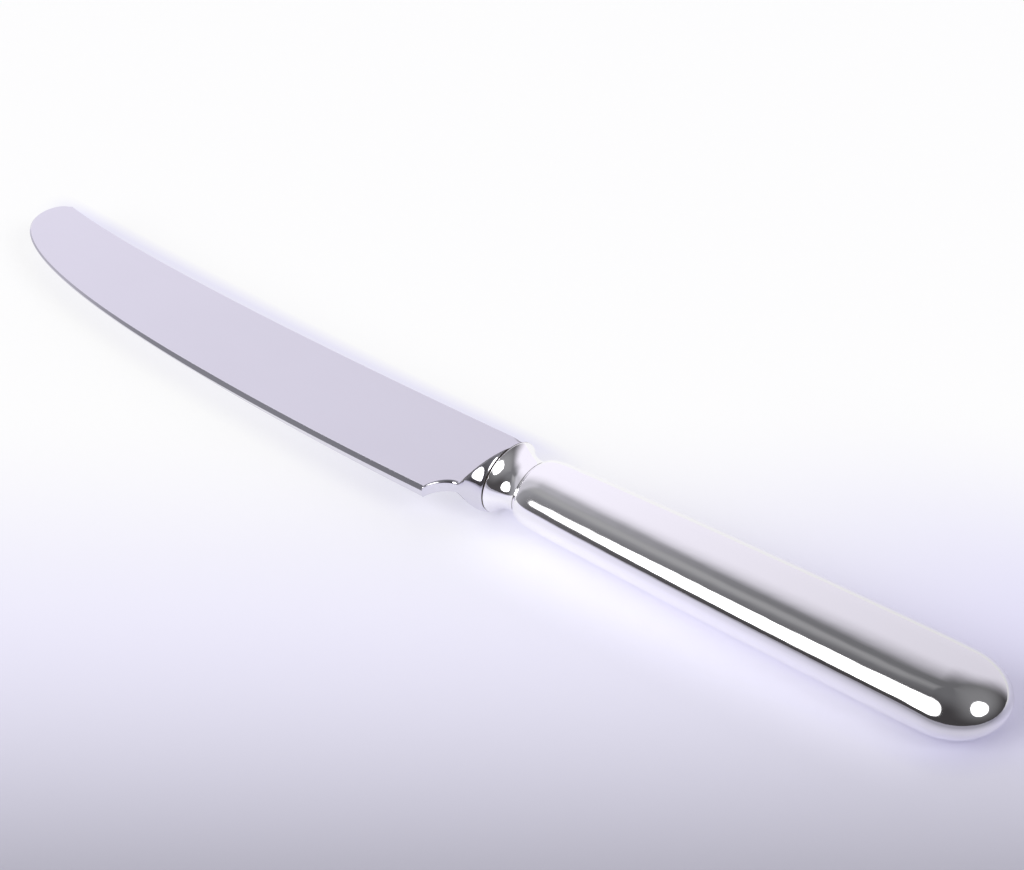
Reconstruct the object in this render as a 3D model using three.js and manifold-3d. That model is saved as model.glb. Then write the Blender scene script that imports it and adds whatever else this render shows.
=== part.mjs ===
// Dessert knife with a forged steel blade and a hollow silver handle.
// Millimetres. X runs from the blade's tip to the butt, Y from the cutting edge to the back, Z is up,
// and X = 0 is the joint between the bolster and the ferrule while the pieces are drawn.

import * as THREE from 'three';
import { mergeVertices } from 'three/addons/utils/BufferGeometryUtils.js';
import Module from 'manifold-3d';

// Blade outline
const bladeLength = 119.2; // joint to the end of the nose
const noseHeight = 9; // end of the nose above the handle's axis
const tipRoundLength = 3.4; // quarter ellipse from the nose to the tip's upper corner
const tipRoundHeight = 4.9;
const nosePull = 17.5; // how strongly the belly leaves the nose
const heelSetback = 8.6; // joint to the heel
const heelDepth = 12.4; // heel below the handle's axis
const bellyPull = 42; // how strongly the belly runs into the heel
const backHeight = 7.95; // back of the blade above the axis at the bolster
const backRootPull = 25; // how far the back runs straight from the bolster
const backTipPull = 27; // how strongly the back sweeps up to the tip
const backTipAngle = 11.6; // slope of the back at the tip, degrees
const heelRise = 2.2; // how strongly the notch leaves the heel
const heelLean = 0.2; // how far the notch leans back over that rise
const throatDepth = 7.85; // bolster's neck below the axis
const throatRun = 1.6; // how strongly the notch runs into the neck
const throatFall = 0.35; // how far the notch is below the neck over that run

// Blade thickness and edge
const neckHalfThickness = 1.35; // at the back of the neck
const tipHalfThickness = 0.36; // at the nose
const grind = 0.009; // half-thickness lost for each millimetre from the back towards the edge
const bevelDepth = 0.57;
const bevelSlope = 1.2; // width of the bevel over its depth
const edgeHalfThickness = 0.14; // least half-thickness left at the cutting edge
const heelArris = 0.24; // rounded edge of the notch at the heel
const throatArris = 0.6; // and at the bolster's neck
const backRound = 0.25; // edge of the back
const arrisShare = 1 / 3; // most of a narrow section's width that its bevel or its back's edge takes

// Bolster and ferrule
const neckLength = 5.2; // joint to the neck, where the notch ends
const neckTuck = 0.3; // how far inside the rim the neck ends
const rimHalfWidth = 7.2; // oval rim where bolster and ferrule meet
const rimLand = 0.25; // plain band on each side of the joint
const rimAspect = 1.2; // width over thickness of the rim
const collarLength = 4.6; // oval collar before the joint
const rampRun = 2.4; // rim to the foot of the steep ramp between the collar and the blade's face
const rampFillet = 0.8; // how far the ramp runs out on the face
const rampTurn = 13.3; // how far the ramp is askew in plan, so that the collar is longer at the edge, degrees
const rampFootDepth = 0.1; // foot of the ramp below the face, so that the two cross
const ferruleLength = 5.1;
const coveRadius = 4.5; // hollow of the ferrule between its rim and the handle
const waistHalfWidth = 5.7; // oval where the ferrule ends
const waistHalfThickness = 4.42;
const spigotLength = 4; // part of the ferrule inside the handle
const spigotClearance = 0.15;

// Handle
const mouthLength = 0.1; // plain band of the handle behind the ferrule
const shoulderRun = 4.1; // plain band to the end of the shoulder's round
const shoulderHalfWidth = 7.1;
const shoulderHalfThickness = 5.46;
const shoulderLift = 0.55; // share of the shoulder's height that its steep front pulls up
const shoulderPull = 3.1; // how strongly it then runs on into the taper
const bulgeHalfWidth = 9.05; // widest oval, just before the butt
const bulgeHalfThickness = 6;
const bulgePosition = 86; // joint to the widest oval
const buttRound = 9.8; // widest oval to the end of the butt
const taperPull = 24.5; // how far the shoulder's slope carries on
const taperRise = 1.28; // half-width gained over that pull
const taperThickening = 0.35; // half-thickness gained over it
const bulgePull = 18; // how far ahead of the bulge the sides turn level
const shellWall = 0.5;
const solderGap = 0.2; // solder between the shells, and between shells and ferrule

// Tang and filling
const tangLength = 62; // joint to the end of the tang
const tangRootWidth = 5.2;
const tangEndWidth = 3.6;
const tangThickness = 2.6;
const tangClearance = 0.3;
const nickCount = 3; // keying nicks on each side of the tang
const nickSpacing = 12;
const nickFromEnd = 10; // end of the tang to its last nick
const nickWidth = 2.4;
const nickDepth = 0.6;
const cementClearance = 0.3;

// Smoothness of the surfaces
const ringPoints = 48; // points round an outer oval
const innerPoints = 24; // points round a hidden oval
const bladePoints = 18; // points on one half of a blade section
const arrisSteps = 3; // steps across its bevel or rounded edge
const tipSteps = 8; // steps along the tip's round
const bellySteps = 40;
const notchSteps = 9;
const coveSteps = 12; // steps along the ferrule's hollow
const shoulderSteps = 8; // steps of the handle's outside; its inside has half as many
const taperSteps = 12;
const buttSteps = 10;
const seatOverlap = 1; // how far a cutting body runs past the face that it cuts

const wasm = await Module();
wasm.setup();

// Solids

function closedSolid(geometry) {
  const bare = geometry.clone();
  bare.deleteAttribute('normal');
  bare.deleteAttribute('uv');
  const merged = mergeVertices(bare);
  return new wasm.Manifold(new wasm.Mesh({
    numProp: 3,
    vertProperties: merged.attributes.position.array,
    triVerts: new Uint32Array(merged.index.array),
  }));
}

function geometryOf(manifold) {
  const mesh = manifold.getMesh();
  const geometry = new THREE.BufferGeometry();
  geometry.setAttribute('position', new THREE.BufferAttribute(mesh.vertProperties, 3));
  geometry.setIndex(new THREE.BufferAttribute(mesh.triVerts, 1));
  geometry.computeVertexNormals();
  return geometry;
}

// Skin over rings of equal counts that follow each other along X, with a fan to a point at each end.
function skin(rings, startPoint, endPoint) {
  const count = rings[0].length;
  const points = [...rings.flat(), startPoint, endPoint];
  const start = points.length - 2;
  const end = points.length - 1;
  const index = [];
  for (let j = 0; j < count; j += 1) {
    const next = (j + 1) % count;
    for (let i = 0; i + 1 < rings.length; i += 1) {
      const near = i * count;
      const far = near + count;
      index.push(near + j, near + next, far + next);
      index.push(near + j, far + next, far + j);
    }
    const last = (rings.length - 1) * count;
    index.push(start, next, j);
    index.push(end, last + j, last + next);
  }
  const geometry = new THREE.BufferGeometry().setFromPoints(points);
  geometry.setIndex(index);
  geometry.computeVertexNormals();
  return geometry;
}

function centreOf(ring) {
  const sum = ring.reduce((total, point) => total.add(point), new THREE.Vector3());
  return sum.divideScalar(ring.length);
}

function oval(x, halfWidth, halfThickness, count) {
  return Array.from({ length: count }, (_, k) => {
    const angle = (2 * Math.PI * k) / count;
    return new THREE.Vector3(x, halfWidth * Math.cos(angle), halfThickness * Math.sin(angle));
  });
}

function ovalSkin(stations, count, endPoint) {
  const rings = stations.map(([x, halfWidth, halfThickness]) => oval(x, halfWidth, halfThickness, count));
  return skin(rings, centreOf(rings[0]), endPoint ?? centreOf(rings[rings.length - 1]));
}

// Flat outline drawn in X and Y, given an even thickness about Z = 0.
function plate(shape, thickness) {
  const geometry = new THREE.ExtrudeGeometry(shape, { depth: thickness, bevelEnabled: false });
  return geometry.translate(0, 0, -thickness / 2);
}

function steps(count) {
  return Array.from({ length: count + 1 }, (_, k) => k / count);
}

// Blade and bolster

const nose = new THREE.Vector2(-bladeLength, noseHeight);
const tipCorner = new THREE.Vector2(-bladeLength + tipRoundLength, noseHeight + tipRoundHeight);
const heel = new THREE.Vector2(-heelSetback, -heelDepth);
const throat = new THREE.Vector2(-neckLength, -throatDepth);
const backRoot = new THREE.Vector2(-neckLength, backHeight);

const tipRound = new THREE.EllipseCurve(
  tipCorner.x, nose.y, tipRoundLength, tipRoundHeight, Math.PI / 2, Math.PI,
);
const belly = new THREE.CubicBezierCurve(
  nose,
  new THREE.Vector2(nose.x, nose.y - nosePull),
  new THREE.Vector2(heel.x - bellyPull, heel.y),
  heel,
);
const notch = new THREE.CubicBezierCurve(
  heel,
  new THREE.Vector2(heel.x + heelLean, heel.y + heelRise),
  new THREE.Vector2(throat.x - throatRun, throat.y - throatFall),
  throat,
);
const backSlope = THREE.MathUtils.degToRad(backTipAngle);
const back = new THREE.CubicBezierCurve(
  tipCorner,
  new THREE.Vector2(
    tipCorner.x + backTipPull * Math.cos(backSlope),
    tipCorner.y - backTipPull * Math.sin(backSlope),
  ),
  new THREE.Vector2(backRoot.x - backRootPull, backRoot.y),
  backRoot,
);

// Each face of the blade is one plane, thinner towards the nose and towards the edge.
function halfThickness(point) {
  const taper = (neckHalfThickness - tipHalfThickness) / (bladeLength - neckLength);
  return neckHalfThickness + taper * (point.x + neckLength) + grind * (point.y - backHeight);
}

// At the heel the bevel and the rounded edge of the notch meet in a mitre, which neither runs past.
const heelBevel = Math.min(bevelDepth, halfThickness(heel) - edgeHalfThickness);
const mitre = new THREE.Vector2(heel.x - heelArris * bevelSlope, heel.y + heelBevel * bevelSlope);

const rimHalfThickness = rimHalfWidth / rimAspect;

// Angles of the oval that the points of a blade section turn into at the rim, back first.
const sectionAngles = Array.from({ length: bladePoints }, (_, j) => ((j + 0.5) * Math.PI) / bladePoints);

// Half outline of one blade section, from the back to the edge: rounded back, flat face, then a straight
// bevel or a round arris down to the edge.
function bladeHalf(backPoint, { point: edgePoint, inward, depthLimit, rounded }) {
  const width = backPoint.distanceTo(edgePoint);
  const depth = Math.min(depthLimit, halfThickness(edgePoint) - edgeHalfThickness, width * arrisShare);
  const faceEnd = edgePoint.clone().addScaledVector(inward, depth * bevelSlope);
  if (rounded) faceEnd.y = Math.max(faceEnd.y, mitre.y);
  else faceEnd.x = Math.min(faceEnd.x, mitre.x);
  const round = Math.min(backRound, width * arrisShare);
  const faceStart = backPoint.clone().lerp(faceEnd, round / width);
  const faceLast = bladePoints - 1 - arrisSteps;
  const startCosine = Math.cos(sectionAngles[1]);
  const span = startCosine - Math.cos(sectionAngles[faceLast]);
  return sectionAngles.map((angle, j) => {
    if (j === 0) {
      return new THREE.Vector3(backPoint.x, backPoint.y, halfThickness(backPoint) - round);
    }
    if (j <= faceLast) {
      const point = faceStart.clone().lerp(faceEnd, (startCosine - Math.cos(angle)) / span);
      return new THREE.Vector3(point.x, point.y, halfThickness(point));
    }
    const share = (j - faceLast) / arrisSteps;
    const turn = (share * Math.PI) / 2;
    const outward = rounded ? Math.sin(turn) : share;
    const drop = rounded ? 1 - Math.cos(turn) : share;
    const point = faceEnd.clone().lerp(edgePoint, outward);
    return new THREE.Vector3(point.x, point.y, halfThickness(point) - depth * drop);
  });
}

function mirroredRing(half) {
  const lower = half.map((point) => new THREE.Vector3(point.x, point.y, -point.z)).reverse();
  return [...half, ...lower];
}

// Points along the edge from the tip's corner to the neck, with the inward direction and the edge's form.
function edgeStations() {
  const stations = [];
  const follow = (curve, shares, depthAt, rounded) => shares.forEach((share) => {
    const tangent = curve.getTangent(share);
    const inward = new THREE.Vector2(-tangent.y, tangent.x);
    stations.push({ point: curve.getPoint(share), inward, depthLimit: depthAt(share), rounded });
  });
  follow(tipRound, steps(tipSteps).slice(1), () => bevelDepth, false);
  follow(belly, steps(bellySteps).slice(1), () => bevelDepth, false);
  const arrisAt = (share) => THREE.MathUtils.lerp(heelArris, throatArris, share);
  follow(notch, steps(notchSteps).slice(1), arrisAt, true);
  return stations;
}

function bladeRings() {
  const stations = edgeStations();
  let travelled = 0;
  stations.forEach((station, k) => {
    travelled += station.point.distanceTo(k === 0 ? tipCorner : stations[k - 1].point);
    station.travelled = travelled;
  });
  return stations.map((station) => bladeHalf(back.getPointAt(station.travelled / travelled), station));
}

// The neck runs on into the collar, and ends inside it.
function neckEnd(neckHalf) {
  const narrowing = (rimHalfWidth - neckTuck) / Math.max(backHeight, throatDepth);
  return neckHalf.map((point) => new THREE.Vector3(-rimLand, point.y * narrowing, point.z));
}

// Oval collar at the joint. On each side a steep ramp, askew in plan, rises to it from the blade's face.
function bolsterCollar() {
  const foot = Math.min(halfThickness(throat), halfThickness(backRoot)) - rampFootDepth;
  const before = -2 * collarLength;
  const above = rimHalfThickness + seatOverlap;
  const profile = new THREE.Shape();
  profile.moveTo(before, foot);
  profile.lineTo(-rampRun - rampFillet, foot);
  profile.quadraticCurveTo(-rampRun, foot, -rimLand, rimHalfThickness);
  profile.lineTo(-rimLand, above);
  profile.lineTo(before, above);
  const block = plate(profile, 4 * rimHalfWidth).rotateX(Math.PI / 2);
  const ramp = closedSolid(block.rotateZ(-THREE.MathUtils.degToRad(rampTurn)));
  const collar = closedSolid(ovalSkin([
    [-collarLength, rimHalfWidth, rimHalfThickness],
    [0, rimHalfWidth, rimHalfThickness],
  ], ringPoints));
  return collar.subtract(ramp).subtract(ramp.mirror([0, 0, 1]));
}

// Tapered tang with keying nicks on both sides, grown on all sides by a clearance.
function tang(clearance, start) {
  const halfWidthAt = (x) => {
    const share = x / tangLength;
    return THREE.MathUtils.lerp(tangRootWidth, tangEndWidth, share) / 2 + clearance;
  };
  const side = [[start, halfWidthAt(start)]];
  for (let k = nickCount - 1; k >= 0; k -= 1) {
    const x = tangLength - nickFromEnd - k * nickSpacing;
    side.push([x - nickWidth / 2, halfWidthAt(x - nickWidth / 2)]);
    side.push([x, halfWidthAt(x) - nickDepth]);
    side.push([x + nickWidth / 2, halfWidthAt(x + nickWidth / 2)]);
  }
  side.push([tangLength + clearance, halfWidthAt(tangLength)]);
  const lower = side.map(([x, y]) => new THREE.Vector2(x, -y));
  const upper = side.map(([x, y]) => new THREE.Vector2(x, y)).reverse();
  return closedSolid(plate(new THREE.Shape([...lower, ...upper]), tangThickness + 2 * clearance));
}

function bladeGeometry() {
  const halves = bladeRings();
  halves.push(neckEnd(halves[halves.length - 1]));
  const rings = halves.map(mirroredRing);
  const forged = closedSolid(skin(rings, centreOf(rings[0]), centreOf(rings[rings.length - 1])));
  return geometryOf(forged.add(bolsterCollar()).add(tang(0, -seatOverlap)));
}

// Ferrule

// Half-width and half-thickness of the handle's opening, which the spigot enters.
const openingHalfWidth = waistHalfWidth - shellWall;
const openingHalfThickness = waistHalfThickness - shellWall;

// The ferrule's hollow is a circular arc from the rim to the handle, narrowest before it gets there.
function ferruleGeometry() {
  const run = ferruleLength - rimLand;
  const drop = rimHalfWidth - waistHalfWidth;
  const tilt = Math.atan2(drop, run);
  const halfAngle = Math.asin(Math.hypot(run, drop) / (2 * coveRadius));
  const startAngle = -halfAngle - tilt;
  const stations = [[0, rimHalfWidth, rimHalfThickness]];
  steps(coveSteps).forEach((share) => {
    const angle = startAngle + 2 * halfAngle * share;
    const narrowing = (coveRadius * (Math.cos(angle) - Math.cos(startAngle))) / drop;
    stations.push([
      rimLand + coveRadius * (Math.sin(angle) - Math.sin(startAngle)),
      THREE.MathUtils.lerp(rimHalfWidth, waistHalfWidth, narrowing),
      THREE.MathUtils.lerp(rimHalfThickness, waistHalfThickness, narrowing),
    ]);
  });
  const spigotHalfWidth = openingHalfWidth - spigotClearance;
  const spigotHalfThickness = openingHalfThickness - spigotClearance;
  stations.push([ferruleLength, spigotHalfWidth, spigotHalfThickness]);
  stations.push([ferruleLength + spigotLength, spigotHalfWidth, spigotHalfThickness]);
  const collar = closedSolid(ovalSkin(stations, ringPoints));
  return geometryOf(collar.subtract(tang(tangClearance, -seatOverlap)));
}

// Solder ring between the ferrule's end and the handle's front edge.
function ferruleSolderGeometry() {
  const ring = new THREE.Shape();
  ring.absellipse(0, 0, waistHalfWidth, waistHalfThickness, 0, 2 * Math.PI);
  const hole = new THREE.Path();
  hole.absellipse(0, 0, openingHalfWidth, openingHalfThickness, 0, 2 * Math.PI);
  ring.holes.push(hole);
  const geometry = new THREE.ExtrudeGeometry(ring, {
    depth: solderGap,
    bevelEnabled: false,
    curveSegments: ringPoints / 2,
  });
  const acrossToAlong = new THREE.Matrix4().makeBasis(
    new THREE.Vector3(0, 1, 0), new THREE.Vector3(0, 0, 1), new THREE.Vector3(1, 0, 0),
  );
  return geometry.applyMatrix4(acrossToAlong).translate(ferruleLength, 0, 0);
}

// Handle

const handleStart = ferruleLength + solderGap;
const shoulderStart = handleStart + mouthLength;
const shoulderEnd = shoulderStart + shoulderRun;
const buttEnd = bulgePosition + buttRound;

// Half-width as Y and half-thickness as Z along the handle: the shoulder's round, then the taper to the
// widest oval, with one slope where they meet.
const shoulderTop = new THREE.Vector3(shoulderEnd, shoulderHalfWidth, shoulderHalfThickness);
const taperSlope = new THREE.Vector3(1, taperRise / taperPull, taperThickening / taperPull);
const taper = new THREE.CubicBezierCurve3(
  shoulderTop,
  shoulderTop.clone().addScaledVector(taperSlope, taperPull),
  new THREE.Vector3(bulgePosition - bulgePull, bulgeHalfWidth, bulgeHalfThickness),
  new THREE.Vector3(bulgePosition, bulgeHalfWidth, bulgeHalfThickness),
);

function shoulderFrom(x) {
  const foot = new THREE.Vector3(x, waistHalfWidth, waistHalfThickness);
  const lift = foot.clone().lerp(shoulderTop, shoulderLift).setX(x);
  const crown = shoulderTop.clone().addScaledVector(taperSlope, -shoulderPull);
  return new THREE.CubicBezierCurve3(foot, lift, crown, shoulderTop);
}

// Stations of the handle from front to butt, set in from its outside: mouth, shoulder, taper and butt.
function handleStations(inset, front, coarseness) {
  const stations = [];
  const add = (x, halfWidth, halfThickness, shrink = 1) => stations.push([
    x, (halfWidth - inset) * shrink, (halfThickness - inset) * shrink,
  ]);
  const follow = (curve, count) => steps(count / coarseness).slice(0, -1).forEach((share) => {
    const point = curve.getPoint(share);
    if (point.x > front) add(point.x, point.y, point.z);
  });
  const shoulderFoot = shoulderStart + inset;
  if (front < shoulderFoot) add(front, waistHalfWidth, waistHalfThickness);
  follow(shoulderFrom(shoulderFoot), shoulderSteps);
  follow(taper, taperSteps);
  steps(buttSteps / coarseness).slice(0, -1).forEach((share) => {
    const angle = (share * Math.PI) / 2;
    const x = bulgePosition + (buttRound - inset) * Math.sin(angle);
    add(x, bulgeHalfWidth, bulgeHalfThickness, Math.cos(angle));
  });
  return stations;
}

function handleSkin(inset, front, coarseness, count) {
  return ovalSkin(handleStations(inset, front, coarseness), count, new THREE.Vector3(buttEnd - inset, 0, 0));
}

function handleShell() {
  const outside = closedSolid(handleSkin(0, handleStart, 1, ringPoints));
  const inside = closedSolid(handleSkin(shellWall, handleStart - seatOverlap, 2, innerPoints));
  return outside.subtract(inside);
}

// One half of the shell, above or below the seam.
function handleHalfGeometry(shell, side) {
  const reach = 2 * bulgeHalfWidth;
  const block = new THREE.BoxGeometry(buttEnd, reach + seatOverlap, reach);
  block.translate(handleStart + buttEnd / 2 - seatOverlap, 0, side * (reach + solderGap) / 2);
  return geometryOf(shell.intersect(closedSolid(block)));
}

// Solder in the seam: the wall's outline between the shells, along both sides and round the butt.
function seamSolderGeometry() {
  const side = (inset) => handleStations(inset, handleStart, 1).map(([x, halfWidth]) => [x, halfWidth]);
  const loop = (inset) => {
    const points = side(inset);
    const upper = points.map(([x, y]) => new THREE.Vector2(x, y));
    const lower = points.map(([x, y]) => new THREE.Vector2(x, -y)).reverse();
    return [...upper, new THREE.Vector2(buttEnd - inset, 0), ...lower];
  };
  return plate(new THREE.Shape([...loop(0), ...loop(shellWall).reverse()]), solderGap);
}

// Cement that fills the handle behind the ferrule's spigot and grips the tang.
function cementGeometry() {
  const front = ferruleLength + spigotLength + cementClearance;
  const filling = closedSolid(handleSkin(shellWall + cementClearance, front, 2, innerPoints));
  return geometryOf(filling.subtract(tang(tangClearance, 0)));
}

// Knife

const steel = { color: 0xc9c7d2, roughness: 0.32, metalness: 1 };
const silver = { color: 0xe6e4ea, roughness: 0.08, metalness: 1 };
const solder = { color: 0xb9b7bd, roughness: 0.3, metalness: 1 };
const cement = { color: 0x6f6358, roughness: 0.9, metalness: 0 };

const knife = new THREE.Group();

function piece(name, geometry, finish) {
  const mesh = new THREE.Mesh(geometry, new THREE.MeshStandardMaterial(finish));
  mesh.name = name;
  knife.add(mesh);
}

const shell = handleShell();
piece('blade', bladeGeometry(), steel);
piece('ferrule', ferruleGeometry(), silver);
piece('ferrule_solder', ferruleSolderGeometry(), solder);
piece('handle_half_upper', handleHalfGeometry(shell, 1), silver);
piece('handle_half_lower', handleHalfGeometry(shell, -1), silver);
piece('seam_solder', seamSolderGeometry(), solder);
piece('cement_core', cementGeometry(), cement);

// The knife lies flat with its origin under the middle of its bounding box.
const bounds = new THREE.Box3().setFromObject(knife);
const middle = bounds.getCenter(new THREE.Vector3());
knife.position.set(-middle.x, -middle.y, -bounds.min.z);

export default knife;
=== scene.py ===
"""Dessert knife with a satin steel blade and a mirror-polished hollow silver handle, on a pale table.

Metres, in the frame of the packed model: X from the blade's tip to the butt, Y from the cutting edge to
the back, Z up. Each piece is a grid of points that is worked out from a few driving sizes.
"""

import math

import bpy
import numpy as np
from bpy.props import FloatProperty, FloatVectorProperty, PointerProperty
from mathutils import Matrix, Vector


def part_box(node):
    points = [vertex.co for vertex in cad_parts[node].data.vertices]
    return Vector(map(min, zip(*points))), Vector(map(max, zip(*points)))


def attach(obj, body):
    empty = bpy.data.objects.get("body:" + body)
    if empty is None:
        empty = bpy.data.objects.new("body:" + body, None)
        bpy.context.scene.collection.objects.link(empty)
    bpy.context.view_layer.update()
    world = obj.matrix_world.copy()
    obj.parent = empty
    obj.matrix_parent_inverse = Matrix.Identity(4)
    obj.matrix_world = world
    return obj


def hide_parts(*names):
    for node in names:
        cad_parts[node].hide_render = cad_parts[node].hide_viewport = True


bl_info = {
    "name": "Dessert Knife",
    "version": (1, 0, 0),
    "blender": (4, 5, 0),
    "location": "View3D > Sidebar > Knife",
    "description": "Builds a dessert knife with a forged blade and a hollow silver handle",
    "category": "Add Mesh",
}

MM = 0.001
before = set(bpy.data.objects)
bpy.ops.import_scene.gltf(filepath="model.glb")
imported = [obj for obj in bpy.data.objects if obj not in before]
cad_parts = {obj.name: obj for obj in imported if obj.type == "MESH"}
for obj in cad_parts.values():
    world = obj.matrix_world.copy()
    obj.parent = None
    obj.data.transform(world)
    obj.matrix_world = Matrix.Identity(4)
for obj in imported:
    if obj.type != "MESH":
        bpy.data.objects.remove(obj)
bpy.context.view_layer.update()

# Sizes that the packed solids give
blade_low, blade_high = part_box("blade")
ferrule_low, ferrule_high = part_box("ferrule")
ring_low, ring_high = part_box("ferrule_solder")
shell_low, shell_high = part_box("handle_half_upper")

# Middle of the joint between bolster and ferrule, which the pieces are drawn about
JOINT = Vector((
    ferrule_low.x,
    (ferrule_low.y + ferrule_high.y) / 2,
    (ferrule_low.z + ferrule_high.z) / 2,
))


# Settings

def taken(description, metres):
    """A length that the packed solids give and the user can change."""
    return FloatProperty(description=description, default=metres, unit="LENGTH", precision=5)


def size(description, millimetres):
    """A length that the user can change."""
    return taken(description, millimetres * MM)


def share(description, value):
    """A plain number that the user can change."""
    return FloatProperty(description=description, default=value, precision=4)


def angle(description, degrees):
    """An angle that the user can change."""
    return FloatProperty(description=description, default=math.radians(degrees), subtype="ANGLE")


def colour(description, *tone):
    """A linear colour that the user can change."""
    return FloatVectorProperty(description=description, default=tone, subtype="COLOR", min=0, max=1)


class BladeSizes(bpy.types.PropertyGroup):
    """Outline and thickness of the blade"""

    length: taken("Joint to the end of the nose", JOINT.x - blade_low.x)
    tip_height: taken("Upper corner of the tip above the axis", blade_high.y - JOINT.y)
    tip_round_length: size("Length of the quarter ellipse at the tip", 3.4)
    tip_round_height: size("Height of the quarter ellipse at the tip", 4.9)
    nose_pull: size("How strongly the belly leaves the nose", 17.5)
    heel_setback: size("Joint to the heel", 8.6)
    heel_depth: taken("Heel below the axis", JOINT.y - blade_low.y)
    belly_pull: size("How strongly the belly runs into the heel", 42)
    back_height: size("Back of the blade above the axis at the bolster", 7.95)
    back_root_pull: size("How far the back runs straight from the bolster", 25)
    back_tip_pull: size("How strongly the back sweeps up to the tip", 27)
    back_tip_angle: angle("Slope of the back at the tip", 11.6)
    heel_rise: size("How strongly the notch leaves the heel", 2.2)
    heel_lean: size("How far the notch leans back over that rise", 0.2)
    throat_depth: size("Neck of the bolster below the axis", 7.85)
    throat_run: size("How strongly the notch runs into the neck", 1.6)
    throat_fall: size("How far the notch is below the neck over that run", 0.35)
    neck_half_thickness: size("Half-thickness at the back of the neck", 1.35)
    tip_half_thickness: size("Half-thickness at the nose", 0.36)
    grind: share("Half-thickness lost for each unit from the back to the edge", 0.009)
    bevel_depth: size("Depth of the cutting bevel", 0.57)
    bevel_slope: share("Width of the bevel over its depth", 1.2)
    edge_half_thickness: size("Least half-thickness left at the edge", 0.14)
    heel_arris: size("Rounded edge of the notch at the heel", 0.24)
    throat_arris: size("Rounded edge of the notch at the neck", 0.6)
    back_round: size("Rounded edge of the back", 0.25)
    arris_share: share("Most of a narrow section's width that its edges take", 1 / 3)


class BolsterSizes(bpy.types.PropertyGroup):
    """Bolster, ferrule and the waist between ferrule and handle"""

    neck_length: size("Joint to the neck, where the notch ends", 5.2)
    rim_half_width: taken("Oval rim of the joint", (ferrule_high.y - ferrule_low.y) / 2)
    rim_half_thickness: taken("Oval rim of the joint", ferrule_high.z - JOINT.z)
    rim_land: size("Plain band on each side of the joint", 0.25)
    rim_round: size("Rounded corner between the ferrule's rim and its hollow", 0.14)
    joint_chamfer: size("Fine chamfer of the ferrule at the joint", 0.1)
    joint_round: size("Rounded edge of the collar at the joint", 0.6)
    joint_turn: angle("How far that edge turns in", 65)
    collar_blend: size("Run over which the neck's section turns into the collar", 1.6)
    ramp_run: size("Rim to the foot of the steep ramp on the blade's face", 2.4)
    ramp_fillet: size("How far the ramp runs out on the face", 0.8)
    ramp_turn: angle("How far the ramp is askew in plan", 13.3)
    ridge_round: size("Rounded edge between the ramp and the collar", 0.4)
    crown: size("How far the collar swells along its length", 0.5)
    crown_setback: size("Joint to where the collar swells most", 1.85)
    ferrule_length: taken("Joint to the waist", ring_low.x - JOINT.x)
    cove_radius: size("Hollow of the ferrule between its rim and the handle", 4.5)
    waist_half_width: taken("End of the ferrule", (ring_high.y - ring_low.y) / 2)
    waist_half_thickness: taken("End of the ferrule", ring_high.z - JOINT.z)
    spigot_end: taken("Joint to the end of the ferrule inside the handle", ferrule_high.x - JOINT.x)
    spigot_clearance: size("Play of the spigot in the handle", 0.15)
    solder_recess: size("How far the solder lies below the waist", 0.04)


class HandleSizes(bpy.types.PropertyGroup):
    """Outline and wall of the hollow handle"""

    start: taken("Joint to the front of the handle", shell_low.x - JOINT.x)
    end: taken("Joint to the end of the butt", shell_high.x - JOINT.x)
    mouth_length: size("Plain band behind the ferrule", 0.1)
    shoulder_run: size("Plain band to the end of the shoulder's round", 4.1)
    shoulder_half_width: size("Width behind the shoulder", 7.1)
    shoulder_half_thickness: size("Thickness behind the shoulder", 5.46)
    shoulder_lift: share("Share of its height that the shoulder's front pulls up", 0.55)
    shoulder_pull: size("How strongly the shoulder runs on into the taper", 3.1)
    bulge_half_width: taken("Widest oval", (shell_high.y - shell_low.y) / 2)
    bulge_half_thickness: taken("Thickest oval", shell_high.z - JOINT.z)
    bulge_position: size("Joint to the widest oval", 86)
    taper_pull: size("How far the shoulder's slope carries on", 24.5)
    taper_rise: size("Half-width gained over that pull", 1.28)
    taper_thickening: size("Half-thickness gained over that pull", 0.35)
    bulge_pull: size("How far ahead of the bulge the sides turn level", 18)
    wall: size("Thickness of the silver", 0.5)
    butt_edge: share("How much sharper than an oval the seam edge is at the butt", 0.12)
    butt_edge_run: size("Length over which the edge gets sharper", 10)
    seam_half_gap: size("Half of the polished seam between the shells", 0.02)


class TangSizes(bpy.types.PropertyGroup):
    """Tang that the handle's filling grips"""

    length: taken("Joint to the end of the tang", blade_high.x - JOINT.x)
    root_width: size("Width at the joint", 5.2)
    end_width: size("Width at the end", 3.6)
    thickness: size("Thickness all along", 2.6)
    clearance: size("Play of the tang in the ferrule", 0.3)
    nick_spacing: size("Distance between keying nicks", 12)
    nick_from_end: size("End of the tang to the last nick", 10)
    nick_width: size("Width of a nick", 2.4)
    nick_depth: size("Depth of a nick", 0.6)


class Finishes(bpy.types.PropertyGroup):
    """Colours and polish of the metals and the filling"""

    steel: colour("Colour of the blade", 0.765, 0.752, 0.815)
    # painted shade: share of the blade's colour darkened towards the bolster, on its upper side
    steel_painted_shade: share("Share of its light that the blade loses towards the bolster", 0.13)
    satin: share("Roughness of the ground faces", 0.3)
    bright: share("Roughness of the polished bolster and edges", 0.07)
    silver: colour("Colour of ferrule and handle", 0.95, 0.94, 0.955)
    mirror: share("Roughness of the silver", 0.05)
    # painted shade: share of the silver's colour darkened towards the butt, on its upper side
    silver_painted_shade: share("Share of its light that the silver loses towards the butt", 0.3)
    solder: colour("Colour of the solder", 0.95, 0.94, 0.955)
    # the dark joint lines are the metal's own; the same colour is also painted shade along the collar's ridge
    tarnish: colour("Colour of the dark joint lines", 0.1, 0.085, 0.08)
    cement: colour("Colour of the handle's filling", 0.16, 0.13, 0.1)


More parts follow.
